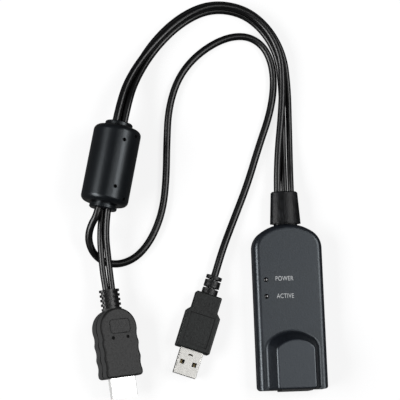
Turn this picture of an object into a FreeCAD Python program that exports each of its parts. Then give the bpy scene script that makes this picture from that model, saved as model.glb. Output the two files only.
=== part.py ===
"""In-line signal module with a network jack, three captive cords, a ferrite, a video plug and a USB plug.

Frame: millimetres, +Z up. The origin lies under the middle of the module and its cord boot, on the surface that
they rest on. +Y runs from the network jack to the cord boot.
"""
import FreeCAD, Part
import math
import os

import Sketcher
from FreeCAD import Placement, Rotation, Vector

SIZES = {
    # Module case: two shells with a rounded crown where the cords leave
    "case_length": 85.6,          # end wall at the network jack to the crown
    "case_width": 36.0,
    "case_height": 11.0,          # to the flat of the lid
    "lower_height": 5.0,          # parting line
    "crown_radius": 24.0,
    "shoulder_radius": 10.5,      # blends the crown into the straight sides
    "case_wall": 1.8,
    "floor_thickness": 1.6,
    "lid_thickness": 1.6,
    "lid_edge_radius": 3.0,
    "base_edge_radius": 1.2,
    "end_corner_radius": 2.0,     # upright corners of the end wall
    "parting_chamfer": 0.25,
    # Hood over the network jack
    "hood_height": 20.5,
    "hood_wall": 1.7,
    "hood_top_width": 19.9,
    "hood_top_reach": 25.3,       # from the end wall to the front of the arch
    "hood_top_corner": 3.0,
    "hood_shelf": 1.8,            # flat of the lid beside the hood
    "hood_base_reach": 29.5,
    "hood_base_corner": 6.0,
    "hood_front_corner": 1.6,
    "hood_edge_radius": 0.9,
    "hood_foot_radius": 1.2,      # where the hood runs out into the lid
    # Screws and their bosses
    "screw_spacing": 24.0,
    "screw_setback": 17.0,        # from the crown
    "screw_shank": 2.2,
    "screw_head": 4.2,
    "screw_head_depth": 1.3,
    "screw_length": 7.0,
    "boss_diameter": 5.4,
    "screw_gap": 0.15,
    # Circuit board
    "board_thickness": 1.6,
    "board_seat": 3.6,            # top of the bosses that carry the board
    "board_gap": 0.4,             # to the case walls
    "board_corner": 5.0,
    # Network jack
    "jack_width": 16.0,
    "jack_height": 13.2,
    "jack_depth": 21.0,
    "jack_proud": 0.8,            # stands out of the end wall
    "jack_gap": 0.15,
    "shield_thickness": 0.25,
    "shield_gap": 0.05,
    "socket_width": 11.9,
    "socket_height": 7.0,
    "socket_depth": 13.5,
    "socket_roof": 2.0,
    "key_width": 6.2,
    "key_height": 1.5,
    "latch_width": 3.9,
    "contact_pitch": 1.02,
    "contact_width": 0.46,
    "contact_thickness": 0.3,
    "contact_drop": 2.1,
    # Indicator lights
    "light_inset": 5.6,           # from the left side
    "power_setback": 29.0,        # from the crown
    "light_spacing": 8.6,
    "light_hole": 2.5,
    "light_gap": 0.1,
    "part_headroom": 0.6,         # over the tallest part of the board
    "light_recess": 0.6,
    "lamp_height": 0.7,
    # Cord boot
    "boot_gap": 0.3,              # between the crown and the boot
    "boot_length": 16.8,
    "boot_base_width": 16.1,
    "boot_base_height": 9.6,
    "boot_end_width": 14.0,
    "boot_end_height": 8.2,
    "boot_corner": 3.0,
    "boot_end_bevel": 0.6,
    "neck_width": 12.4,
    "neck_height": 6.6,
    "flange_width": 15.0,
    "flange_height": 7.4,
    "flange_thickness": 1.5,
    "flange_setback": 3.3,        # from the crown, clear of the curved wall
    "cord_height": 5.5,
    # Cords
    "usb_cord_diameter": 3.8,
    "video_cord_diameter": 3.3,
    "cord_gap": 0.12,
    # Ferrite and its jacket
    "core_length": 28.5,
    "core_diameter": 19.0,
    "core_bore": 9.4,
    "jacket_length": 40.2,
    "jacket_diameter": 24.5,
    "jacket_shoulder": 3.0,
    "jacket_groove": 0.8,
    "collar_diameter": 14.2,
    "collar_length": 1.9,
    "collar_bevel": 0.5,
    "core_gap": 0.1,
    "ferrite_gap": 0.22,          # round each cord in the jacket, where the cords start to bend
    "pin_diameter": 1.8,
    "pin_depth": 1.6,
    # Video plug
    "video_width": 20.0,
    "video_thickness": 12.4,
    "video_length": 34.9,
    "video_edge_radius": 1.1,
    "video_front_corner": 1.8,
    "wave_depth": 0.5,
    "wave_start": 2.5,
    "wave_run_out": 0.8,          # straight between the last wave and the round back
    "groove_width": 0.9,
    "groove_depth": 0.5,
    "video_boot_length": 9.95,
    "video_boot_width": 9.1,
    "video_boot_height": 5.6,
    "video_rib_width": 10.8,
    "video_rib_height": 6.9,
    "video_rib_pitch": 2.36,
    "video_rib_thickness": 1.15,
    "video_cord_spacing": 3.44,
    "video_shell_width": 13.9,
    "video_shell_height": 4.45,
    "video_shell_reach": 10.2,
    "video_shell_seat": 6.8,
    "shell_thickness": 0.3,
    "shell_gap": 0.05,
    # USB plug
    "usb_width": 18.0,
    "usb_thickness": 8.0,
    "usb_wide_length": 19.2,
    "usb_shoulder": 2.35,
    "usb_narrow_width": 13.7,
    "usb_narrow_length": 8.4,
    "usb_edge_radius": 0.8,
    "usb_boot_length": 10.0,
    "usb_boot_width": 4.9,
    "usb_boot_height": 5.3,
    "usb_rib_width": 8.3,
    "usb_rib_height": 6.2,
    "usb_rib_gap": 0.85,
    "usb_end_rib": 1.7,
    "usb_middle_rib": 3.5,
    "usb_shell_width": 12.0,
    "usb_shell_height": 4.5,
    "usb_shell_reach": 13.4,
    "usb_shell_seat": 6.0,
    "tongue_height": 1.9,
    "cord_anchor": 12.4,          # how far a cord reaches into the video plug
    "usb_cord_anchor": 16.4,
}

doc = FreeCAD.newDocument("signal_module")
sheet = doc.addObject("Spreadsheet::Sheet", "Sizes")
for row, (alias, number) in enumerate(SIZES.items(), start=1):
    sheet.set("A%d" % row, alias)
    sheet.set("B%d" % row, str(number))
    sheet.setAlias("B%d" % row, alias)
doc.recompute()


class Size:
    """A length worked out from the sheet: its number, and the expression that gives it."""

    def __init__(self, value, text):
        self.value = value
        self.text = text

    def __add__(self, other):
        other = as_size(other)
        return Size(self.value + other.value, "(%s + %s)" % (self.text, other.text))

    def __sub__(self, other):
        other = as_size(other)
        return Size(self.value - other.value, "(%s - %s)" % (self.text, other.text))

    def __mul__(self, other):
        other = as_size(other)
        return Size(self.value * other.value, "(%s * %s)" % (self.text, other.text))

    def __truediv__(self, other):
        other = as_size(other)
        return Size(self.value / other.value, "(%s / %s)" % (self.text, other.text))

    def __rsub__(self, other):
        return as_size(other) - self

    def __neg__(self):
        return Size(-self.value, "(0 - %s)" % self.text)

    __radd__ = __add__
    __rmul__ = __mul__


def as_size(number):
    """A plain number as a Size."""
    return number if isinstance(number, Size) else Size(float(number), "%g" % number)


def root(size):
    """The square root of a squared length."""
    return Size(math.sqrt(size.value), "sqrt(%s)" % size.text)


def cell(alias):
    """The Size that a cell of the sheet holds."""
    return Size(SIZES[alias], "Sizes." + alias)


# ---------------------------------------------------------------------------------------------------------------
# Building blocks
# ---------------------------------------------------------------------------------------------------------------
PLANE_SIGN = {"XY_Plane": 1, "XZ_Plane": -1, "YZ_Plane": 1}


def bind(thing, name, size):
    """Sets a property to a size, and keeps it tied to the sheet."""
    size = as_size(size)
    thing.setExpression(name, size.text)


def new_body(label):
    body = doc.addObject("PartDesign::Body", label)
    body.Label = label
    return body


def sketch_at(body, role, level, name):
    """A sketch on one of the body's origin planes, moved along the frame's axis to the given level."""
    sketch = body.newObject("Sketcher::SketchObject", name)
    plane = next(item for item in body.Origin.OriginFeatures if item.Role == role)
    sketch.AttachmentSupport = [(plane, "")]
    sketch.MapMode = "FlatFace"
    bind(sketch, ".AttachmentOffset.Base.z", as_size(level) * PLANE_SIGN[role])
    return sketch


def pin_point(sketch, geometry, point, x, y):
    """Fixes one point of a sketch at the given sizes from the origin."""
    for kind, size, axis in (("DistanceX", x, -2), ("DistanceY", y, -1)):
        if abs(size.value) < 1e-9:
            sketch.addConstraint(Sketcher.Constraint("PointOnObject", geometry, point, axis))
        else:
            index = sketch.addConstraint(Sketcher.Constraint(kind, -1, 1, geometry, point, size.value))
            bind(sketch, "Constraints[%d]" % index, size)


def draw(sketch, corners):
    """A closed outline. A corner (x, y) starts a straight edge; (x, y, r) starts an arc, clockwise if r < 0."""
    corners = [tuple(as_size(part) for part in corner) for corner in corners]
    first = sketch.GeometryCount
    ends = []
    for corner, following in zip(corners, corners[1:] + corners[:1]):
        start = Vector(corner[0].value, corner[1].value, 0)
        finish = Vector(following[0].value, following[1].value, 0)
        if len(corner) == 2:
            sketch.addGeometry(Part.LineSegment(start, finish))
            ends.append((1, 2))
            continue
        radius = corner[2].value
        side = 1 if radius > 0 else -1
        chord = finish - start
        rise = math.sqrt(max(radius ** 2 - chord.Length ** 2 / 4, 0))
        centre = (start + finish) / 2 + Vector(-chord.y, chord.x, 0).normalize() * rise * side
        angles = [math.atan2(point.y - centre.y, point.x - centre.x) for point in (start, finish)]
        circle = Part.Circle(centre, Vector(0, 0, 1), abs(radius))
        sketch.addGeometry(Part.ArcOfCircle(circle, *angles[::side]))
        ends.append((1, 2)[::side])
    for step, corner in enumerate(corners):
        edge = first + step
        after = first + (step + 1) % len(corners)
        sketch.addConstraint(Sketcher.Constraint("Coincident", edge, ends[step][1], after, ends[after - first][0]))
        pin_point(sketch, edge, ends[step][0], corner[0], corner[1])
        if len(corner) == 3:
            index = sketch.addConstraint(Sketcher.Constraint("Radius", edge, abs(corner[2].value)))
            size = corner[2] if corner[2].value > 0 else -corner[2]
            bind(sketch, "Constraints[%d]" % index, size)
    return sketch


def circle(sketch, x, y, radius):
    radius = as_size(radius)
    x, y = as_size(x), as_size(y)
    edge = sketch.addGeometry(Part.Circle(Vector(x.value, y.value, 0), Vector(0, 0, 1), radius.value))
    pin_point(sketch, edge, 3, x, y)
    index = sketch.addConstraint(Sketcher.Constraint("Radius", edge, radius.value))
    bind(sketch, "Constraints[%d]" % index, radius)
    return sketch


def box_corners(x0, x1, y0, y1):
    return [(x0, y0), (x1, y0), (x1, y1), (x0, y1)]


def oval_corners(width, height, corner, middle=0):
    """An oval: two flat arcs joined by two small ones, all tangent. middle is the height of its centre."""
    half, rise, corner, middle = width / 2, height / 2, as_size(corner), as_size(middle)
    flat = ((half - corner) * (half - corner) + rise * rise - corner * corner) / (2 * (rise - corner))
    x = (half - corner) * flat / (flat - corner)
    y = rise - flat + (flat - rise) * flat / (flat - corner)
    return [(x, middle - y, corner), (x, middle + y, flat), (-x, middle + y, corner), (-x, middle - y, flat)]


def feature(body, kind, name, **settings):
    item = body.newObject("PartDesign::" + kind, name)
    for key, value in settings.items():
        if isinstance(value, Size):
            bind(item, key, value)
        else:
            setattr(item, key, value)
    doc.recompute()
    body.Tip = item
    return item


def pad(body, sketch, length, name, reverse=False):
    return feature(body, "Pad", name, Profile=sketch, Length=as_size(length), Reversed=reverse)


def pocket(body, sketch, length, name, reverse=False):
    return feature(body, "Pocket", name, Profile=sketch, Length=as_size(length), Reversed=reverse)


def edges(item, chosen):
    """The names of the edges of a feature that meet a test."""
    return ["Edge%d" % number for number, edge in enumerate(item.Shape.Edges, start=1) if chosen(edge)]


def fillet(body, item, radius, name, chosen):
    return feature(body, "Fillet", name, Base=(item, edges(item, chosen)), Radius=as_size(radius))


def box(label, low, size):
    """A plain block from its lowest corner and its three sizes."""
    block = doc.addObject("Part::Box", label)
    for name, length in zip(("Length", "Width", "Height"), size):
        bind(block, name, length)
    for axis, place in zip("xyz", low):
        bind(block, ".Placement.Base." + axis, place)
    return block


def flat_at(edge, axis, level):
    """True where an edge lies in the plane at that level of an axis."""
    bounds = edge.BoundBox
    low, high = getattr(bounds, axis + "Min"), getattr(bounds, axis + "Max")
    return abs(low - level) < 1e-3 and abs(high - level) < 1e-3


# ---------------------------------------------------------------------------------------------------------------
# Levels and places that several pieces share
# ---------------------------------------------------------------------------------------------------------------
module_length = cell("jack_proud") + cell("case_length") + cell("boot_gap") + cell("boot_length")
jack_face = -module_length / 2
end_wall = jack_face + cell("jack_proud")
crown = end_wall + cell("case_length")
boot_base = crown + cell("boot_gap")
boot_end = boot_base + cell("boot_length")
half_width = cell("case_width") / 2
hood_base_width = 2 * (half_width - cell("lid_edge_radius") - cell("hood_shelf"))
board_top = cell("board_seat") + cell("board_thickness")
lid_inside = cell("case_height") - cell("lid_thickness")
flange_front = crown - cell("flange_setback")
flange_back = flange_front - cell("flange_thickness")
jack_back = jack_face + cell("jack_depth")
jack_top = board_top + cell("jack_height")
shield_skin = cell("shield_gap") + cell("shield_thickness")
screw_line = crown - cell("screw_setback")
screw_places = [(cell("screw_spacing") / side, screw_line) for side in (-2, 2)]
light_places = [
    (cell("light_inset") - half_width, crown - cell("power_setback")),
    (cell("light_inset") - half_width, crown - cell("power_setback") - cell("light_spacing")),
]
usb_bore = cell("usb_cord_diameter") / 2 + cell("cord_gap")
video_bore = cell("video_cord_diameter") / 2 + cell("cord_gap")


def case_plan(inset):
    """The plan of the case, drawn in by an inset: a flat end, straight sides, two shoulders and the crown."""
    inset = as_size(inset)
    half = half_width - inset
    crown_radius = cell("crown_radius") - inset
    shoulder = cell("shoulder_radius") - inset
    between = cell("crown_radius") - cell("shoulder_radius")
    across = half_width - cell("shoulder_radius")
    along = root(between * between - across * across)
    shoulder_y = crown - cell("crown_radius") + along
    join_x = across * crown_radius / between
    join_y = crown - cell("crown_radius") + along * crown_radius / between
    front = end_wall + inset
    return [
        (-half, front), (half, front), (half, shoulder_y, shoulder), (join_x, join_y, crown_radius),
        (-join_x, join_y, shoulder), (-half, shoulder_y),
    ]


def round_end_corners(body, top, depth):
    """Cuts the two upright corners of the end wall round, from a level downwards."""
    sketch = sketch_at(body, "XY_Plane", top, "EndCorners")
    side, near, radius = half_width, end_wall, cell("end_corner_radius")
    draw(sketch, [(side - radius, near - 1), (side + 1, near - 1), (side + 1, near + radius),
                  (side, near + radius, -radius), (side - radius, near)])
    draw(sketch, [(-side - 1, near - 1), (radius - side, near - 1), (radius - side, near, -radius),
                  (-side, near + radius), (-side - 1, near + radius)])
    return pocket(body, sketch, depth, "RoundCorners")


def neck_opening(body):
    """The opening in the crown wall that both shells close round the neck of the boot."""
    sketch = sketch_at(body, "XZ_Plane", crown + 1, "NeckOutline")
    wide = cell("neck_width") + 2 * cell("cord_gap")
    tall = cell("neck_height") + 2 * cell("cord_gap")
    draw(sketch, oval_corners(wide, tall, cell("boot_corner"), cell("cord_height")))
    return pocket(body, sketch, cell("flange_setback") + 1, "NeckOpening", reverse=True)


# ---------------------------------------------------------------------------------------------------------------
# Lower shell: a moulded tray with bosses for the board and the two screws
# ---------------------------------------------------------------------------------------------------------------
def make_lower_shell():
    body = new_body("lower_shell")
    outline = draw(sketch_at(body, "XY_Plane", 0, "Plan"), case_plan(0))
    pad(body, outline, cell("lower_height"), "Block")
    corners = round_end_corners(body, cell("lower_height"), cell("lower_height"))
    rounded = fillet(body, corners, cell("base_edge_radius"), "BaseEdge", lambda edge: flat_at(edge, "Z", 0))
    rim = edges(rounded, lambda edge: flat_at(edge, "Z", SIZES["lower_height"]))
    feature(body, "Chamfer", "PartingChamfer", Base=(rounded, rim), Size=cell("parting_chamfer"))

    hollow = draw(sketch_at(body, "XY_Plane", cell("lower_height"), "Hollow"), case_plan(cell("case_wall")))
    pocket(body, hollow, cell("lower_height") - cell("floor_thickness"), "Tray")

    rise = cell("board_seat") - cell("floor_thickness")
    bosses = sketch_at(body, "XY_Plane", cell("floor_thickness"), "BossPlan")
    for x, y in screw_places:
        circle(bosses, x, y, cell("boss_diameter") / 2)
    post_y = end_wall + cell("case_wall") + cell("boss_diameter")
    for side in (-1, 1):
        circle(bosses, (half_width - cell("boss_diameter")) * side, post_y, cell("boss_diameter") / 3)
    pad(body, bosses, rise, "Bosses")

    holes = sketch_at(body, "XY_Plane", cell("board_seat"), "ScrewHoles")
    heads = sketch_at(body, "XY_Plane", 0, "HeadRecesses")
    for x, y in screw_places:
        circle(holes, x, y, cell("screw_shank") / 2 + cell("screw_gap"))
        circle(heads, x, y, cell("screw_head") / 2 + cell("screw_gap"))
    pocket(body, holes, cell("board_seat"), "ScrewClearance")
    pocket(body, heads, cell("screw_head_depth") + cell("screw_gap"), "ScrewSeats", reverse=True)

    ribs = sketch_at(body, "XY_Plane", cell("floor_thickness"), "FlangeRibs")
    inner, outer = cell("usb_cord_diameter") * 1.6, cell("flange_width") / 2
    for low, high in ((-outer, -inner), (inner, outer)):
        draw(ribs, box_corners(low, high, flange_back - cell("case_wall"), flange_back - cell("jack_gap")))
    pad(body, ribs, cell("lower_height") - cell("floor_thickness"), "FlangeStops")
    neck_opening(body)
    return body


# ---------------------------------------------------------------------------------------------------------------
# Upper shell: the lid, its soft edge, and the arched hood over the network jack
# ---------------------------------------------------------------------------------------------------------------
ARCH_TURN_SINE = 0.643    # of half the turn of the hood's arch, the same from its foot to its top
SOFT_STEPS = 3            # flats that stand for each rounding of the hood


def hood_section(body, level, grow, name):
    """One section of the hood at a level: two small corners at the end wall, straight sides, two large corners
    and an arched far side, all tangent. grow widens it for the foot, or draws it in for the top edge."""
    rise = (level - cell("case_height")) / (cell("hood_height") - cell("case_height"))
    half = (hood_base_width + (cell("hood_top_width") - hood_base_width) * rise) / 2 + grow
    reach = cell("hood_base_reach") + (cell("hood_top_reach") - cell("hood_base_reach")) * rise + grow
    corner = cell("hood_base_corner") + (cell("hood_top_corner") - cell("hood_base_corner")) * rise + grow
    small = cell("hood_front_corner") + grow
    front = end_wall if grow.value > 0 else end_wall - grow
    across = half - corner
    between = across / ARCH_TURN_SINE
    arch = corner + between
    along = root(between * between - across * across)
    top = end_wall + reach
    corner_y = top - arch + along
    join_x = across * arch / between
    join_y = top - arch + along * arch / between
    return draw(sketch_at(body, "XY_Plane", level, name), [
        (small - half, front), (half - small, front, small), (half, front + small), (half, corner_y, corner),
        (join_x, join_y, arch), (-join_x, join_y, corner), (-half, corner_y), (-half, front + small, small),
    ])


def make_upper_shell():
    body = new_body("upper_shell")
    case_top, front = SIZES["case_height"], end_wall.value
    outline = draw(sketch_at(body, "XY_Plane", cell("lower_height"), "Plan"), case_plan(0))
    block = pad(body, outline, cell("case_height") - cell("lower_height"), "Block")
    fillet(
        body, block, cell("lid_edge_radius"), "LidEdge",
        lambda edge: flat_at(edge, "Z", case_top) and not flat_at(edge, "Y", front),
    )
    round_end_corners(body, cell("case_height"), cell("case_height") - cell("lower_height"))

    sections = []
    for step in range(SOFT_STEPS + 1):
        turn = math.radians(90) * step / SOFT_STEPS
        level = cell("case_height") + cell("hood_foot_radius") * (1 - math.cos(turn))
        grow = cell("hood_foot_radius") * (1 - math.sin(turn))
        sections.append(hood_section(body, level, grow, "HoodFoot%d" % step))
    for step in range(SOFT_STEPS + 1):
        turn = math.radians(90) * step / SOFT_STEPS
        level = cell("hood_height") - cell("hood_edge_radius") * (1 - math.sin(turn))
        grow = cell("hood_edge_radius") * (math.cos(turn) - 1)
        sections.append(hood_section(body, level, grow, "HoodEdge%d" % step))
    feature(body, "AdditiveLoft", "Hood", Profile=sections[0], Sections=sections[1:], Ruled=True)

    hollow = draw(sketch_at(body, "XY_Plane", cell("lower_height"), "Hollow"), case_plan(cell("case_wall")))
    pocket(body, hollow, lid_inside - cell("lower_height"), "LidInside", reverse=True)

    half_jack = cell("jack_width") / 2 + shield_skin + cell("jack_gap")
    bay = draw(
        sketch_at(body, "XY_Plane", cell("lower_height"), "JackBay"),
        box_corners(-half_jack, half_jack, end_wall - 1, jack_back + shield_skin + cell("jack_gap")),
    )
    pocket(body, bay, cell("hood_height") - cell("hood_wall") - cell("lower_height"), "HoodInside", reverse=True)

    windows = sketch_at(body, "XY_Plane", cell("case_height"), "LightHoles")
    for x, y in light_places:
        circle(windows, x, y, cell("light_hole") / 2)
    pocket(body, windows, cell("lid_thickness") + 0.5, "LightWindows")

    bosses = sketch_at(body, "XY_Plane", lid_inside + 0.2, "BossPlan")
    for x, y in screw_places:
        circle(bosses, x, y, cell("boss_diameter") / 2)
    pad(body, bosses, lid_inside + 0.2 - board_top, "Bosses", reverse=True)
    pilots = sketch_at(body, "XY_Plane", board_top, "PilotHoles")
    for x, y in screw_places:
        circle(pilots, x, y, cell("screw_shank") / 2 + cell("shield_gap"))
    pocket(body, pilots, lid_inside - board_top, "ScrewPilots", reverse=True)
    neck_opening(body)
    return body


# ---------------------------------------------------------------------------------------------------------------
# Circuit board and what it carries
# ---------------------------------------------------------------------------------------------------------------
def make_circuit_board():
    body = new_body("circuit_board")
    half = half_width - cell("case_wall") - cell("board_gap")
    front = end_wall + cell("case_wall") + cell("board_gap")
    back = flange_back - cell("case_wall") - cell("board_gap")
    cut = cell("board_corner")
    plan = draw(sketch_at(body, "XY_Plane", cell("board_seat"), "Plan"), [
        (-half, front), (half, front), (half, back - cut), (half - cut, back),
        (cut - half, back), (-half, back - cut),
    ])
    pad(body, plan, cell("board_thickness"), "Board")
    holes = sketch_at(body, "XY_Plane", board_top, "ScrewHoles")
    for x, y in screw_places:
        circle(holes, x, y, cell("screw_shank") / 2 + 2 * cell("screw_gap"))
    pocket(body, holes, cell("board_thickness"), "ScrewClearance")
    return body


def make_board_parts():
    """Chips and small parts: name, centre as shares of the case's width and length, and size."""
    tallest = lid_inside - board_top - cell("part_headroom")
    layout = [
        ("main_chip", 0.055, 0.45, 14.0, 14.0, 1.5),
        ("memory_chip", 0.165, 0.59, 10.5, 6.0, 1.1),
        ("usb_chip", -0.085, 0.69, 7.0, 7.0, 1.2),
        ("line_transformer", 0.235, 0.68, 12.4, 6.4, tallest),
        ("crystal", -0.33, 0.38, 3.2, 5.0, 1.1),
        ("regulator", -0.33, 0.47, 6.2, 5.0, 2.2),
        ("board_filter", -0.03, 0.78, 4.6, 4.6, 2.4),
    ]
    parts = []
    for label, across, along, wide, deep, tall in layout:
        middle_x, middle_y = cell("case_width") * across, end_wall + cell("case_length") * along
        low = (middle_x - wide / 2, middle_y - deep / 2, board_top)
        parts.append(box(label, low, (as_size(wide), as_size(deep), as_size(tall))))
    return parts


def make_cord_header():
    """The block at the end of the board where the three cords are joined to it."""
    depth, height = cell("flange_thickness") * 2, cell("cord_height") / 2
    back = flange_back - cell("case_wall") - cell("board_gap")
    width = cell("neck_width")
    return box("cord_header", (-width / 2, back - depth, board_top), (width, depth, height))


def make_light(name, place):
    """A lamp on the board and the clear pipe that carries its light to the lid."""
    x, y = place
    lamp = box(name + "_lamp", (x - 0.8, y - 0.6, board_top), (as_size(1.6), as_size(1.2), cell("lamp_height")))
    body = new_body(name + "_light_pipe")
    foot = board_top + cell("lamp_height") + cell("light_gap")
    radius = cell("light_hole") / 2 - cell("light_gap")
    tip = cell("case_height") - cell("light_recess")
    under = lid_inside - cell("light_gap")
    profile = draw(sketch_at(body, "XZ_Plane", 0, "Profile"), [
        (0, foot), (radius, foot), (radius, under - 0.8), (radius * 1.5, under - 0.8), (radius * 1.5, under),
        (radius, under), (radius, tip - radius / 3, radius * 5 / 3), (0, tip),
    ])
    feature(body, "Revolution", "Pipe", Profile=profile, ReferenceAxis=(profile, ["V_Axis"]), Angle=360)
    bind(body, ".Placement.Base.x", x)
    bind(body, ".Placement.Base.y", y)
    return [lamp, body]


def make_screws():
    """Two pan-head screws, one node: each head sits in its recess and the shank reaches into the lid's boss."""
    body = new_body("case_screws")
    body.AllowCompound = True
    seat = cell("screw_head_depth")
    heads = sketch_at(body, "XY_Plane", cell("screw_gap"), "Heads")
    shanks = sketch_at(body, "XY_Plane", seat, "Shanks")
    for x, y in screw_places:
        circle(heads, x, y, cell("screw_head") / 2)
        circle(shanks, x, y, cell("screw_shank") / 2)
    pad(body, heads, seat, "HeadPads")
    pad(body, shanks, cell("screw_length"), "ShankPads")
    return body


# ---------------------------------------------------------------------------------------------------------------
# Network jack
# ---------------------------------------------------------------------------------------------------------------
socket_top = jack_top - cell("socket_roof")
socket_floor = socket_top - cell("socket_height")


def make_network_jack():
    body = new_body("network_jack")
    half = cell("jack_width") / 2
    outline = draw(sketch_at(body, "XZ_Plane", jack_face, "Outline"), box_corners(-half, half, board_top, jack_top))
    pad(body, outline, cell("jack_depth"), "Housing", reverse=True)
    wide, key, latch = (cell(name) / 2 for name in ("socket_width", "key_width", "latch_width"))
    key_floor = socket_floor - cell("key_height")
    latch_floor = key_floor - cell("key_height")
    mouth = draw(sketch_at(body, "XZ_Plane", jack_face, "Mouth"), [
        (-wide, socket_top), (-wide, socket_floor), (-key, socket_floor), (-key, key_floor), (-latch, key_floor),
        (-latch, latch_floor), (latch, latch_floor), (latch, key_floor), (key, key_floor), (key, socket_floor),
        (wide, socket_floor), (wide, socket_top),
    ])
    pocket(body, mouth, cell("socket_depth"), "Socket")
    return body


def make_jack_contacts():
    """Eight spring contacts that slope down from the front of the socket's roof."""
    body = new_body("jack_contacts")
    body.AllowCompound = True
    pitch, thick = cell("contact_pitch"), cell("contact_thickness")
    start = jack_face + 2.4
    finish = jack_face + cell("socket_depth")
    high = socket_top - 0.05
    low = high - cell("contact_drop")
    blade = draw(sketch_at(body, "YZ_Plane", -pitch * 3.5 - cell("contact_width") / 2, "Blade"), [
        (start, high - thick), (finish - 2.0, low - thick), (finish, low - thick), (finish, low),
        (finish - 2.0, low), (start, high),
    ])
    first = pad(body, blade, cell("contact_width"), "FirstContact")
    axis = next(item for item in body.Origin.OriginFeatures if item.Role == "X_Axis")
    feature(body, "LinearPattern", "Contacts", Originals=[first], Direction=(axis, [""]),
            Length=pitch * 7, Occurrences=8)
    return body


def make_jack_shield():
    """A folded sheet round the top, the sides and the back of the jack, with the front left open."""
    body = new_body("jack_shield")
    inner = cell("jack_width") / 2 + cell("shield_gap")
    outer = inner + cell("shield_thickness")
    roof = jack_top + cell("shield_gap")
    start = end_wall + cell("shield_thickness")
    outline = draw(sketch_at(body, "XZ_Plane", start, "Outside"),
                   box_corners(-outer, outer, board_top, roof + cell("shield_thickness")))
    depth = jack_back + shield_skin - start
    block = pad(body, outline, depth, "Sheet", reverse=True)
    fillet(body, block, cell("shield_thickness") * 2, "Folds",
           lambda edge: edge.BoundBox.YLength > 5 and edge.BoundBox.ZMin > SIZES["case_height"])
    hollow = draw(sketch_at(body, "XZ_Plane", start, "Inside"), box_corners(-inner, inner, board_top - 1, roof))
    pocket(body, hollow, depth - cell("shield_thickness"), "Inside")
    return body


# ---------------------------------------------------------------------------------------------------------------
# Cord boot: one rubber moulding with a flange inside the case, a neck and a tapered sleeve
# ---------------------------------------------------------------------------------------------------------------
boot_cords = [(-3.45, usb_bore), (0.25, video_bore), (3.8, video_bore)]


def make_cord_boot():
    body = new_body("cord_boot")
    corner, middle = cell("boot_corner"), cell("cord_height")
    flange = draw(sketch_at(body, "XZ_Plane", flange_back, "Flange"),
                  oval_corners(cell("flange_width"), cell("flange_height"), corner, middle))
    pad(body, flange, cell("flange_thickness"), "FlangePad", reverse=True)
    neck = draw(sketch_at(body, "XZ_Plane", flange_front, "Neck"),
                oval_corners(cell("neck_width"), cell("neck_height"), corner, middle))
    pad(body, neck, boot_base - flange_front, "NeckPad", reverse=True)
    base = draw(sketch_at(body, "XZ_Plane", boot_base, "SleeveBase"),
                oval_corners(cell("boot_base_width"), cell("boot_base_height"), corner, middle))
    tip = draw(sketch_at(body, "XZ_Plane", boot_end, "SleeveEnd"),
               oval_corners(cell("boot_end_width"), cell("boot_end_height"), corner, middle))
    sleeve = feature(body, "AdditiveLoft", "Sleeve", Profile=base, Sections=[tip], Ruled=True)
    rim = edges(sleeve, lambda edge: flat_at(edge, "Y", boot_end.value))
    feature(body, "Chamfer", "SleeveBevel", Base=(sleeve, rim), Size=cell("boot_end_bevel"))
    bores = sketch_at(body, "XZ_Plane", boot_end, "CordBores")
    for x, bore in boot_cords:
        circle(bores, x, middle, bore)
    pocket(body, bores, boot_end - flange_back, "CordHoles", reverse=True)
    return body


# ---------------------------------------------------------------------------------------------------------------
# Ferrite: a sintered ring inside a moulded jacket, with the three cords straight through it
# ---------------------------------------------------------------------------------------------------------------
FERRITE_PLACE = Placement(Vector(-90.46, 65.90, SIZES["jacket_diameter"] / 2), Rotation(Vector(0, 0, 1), -12.6))
ferrite_cords = [(-2.0, 1.2, "usb_cord_diameter"), (2.5, 1.4, "video_cord_diameter"), (-0.1, -2.1, "video_cord_diameter")]
# Marks left by the pins that hold the ring while the jacket is moulded: turn from the top and distance from middle
pin_marks = [(17, 12.6), (17, -11.8), (49, 16.0), (49, -17.0)]


def make_ferrite_core():
    body = new_body("ferrite_core")
    half = cell("core_length") / 2
    profile = draw(sketch_at(body, "XY_Plane", 0, "Profile"),
                   box_corners(cell("core_bore") / 2, cell("core_diameter") / 2, -half, half))
    ring = feature(body, "Revolution", "Ring", Profile=profile, ReferenceAxis=(profile, ["V_Axis"]), Angle=360)
    feature(body, "Chamfer", "Edges", Base=(ring, edges(ring, lambda edge: edge.BoundBox.YLength < 0.01)),
            Size=as_size(0.4))
    body.Placement = FERRITE_PLACE
    return body


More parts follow.
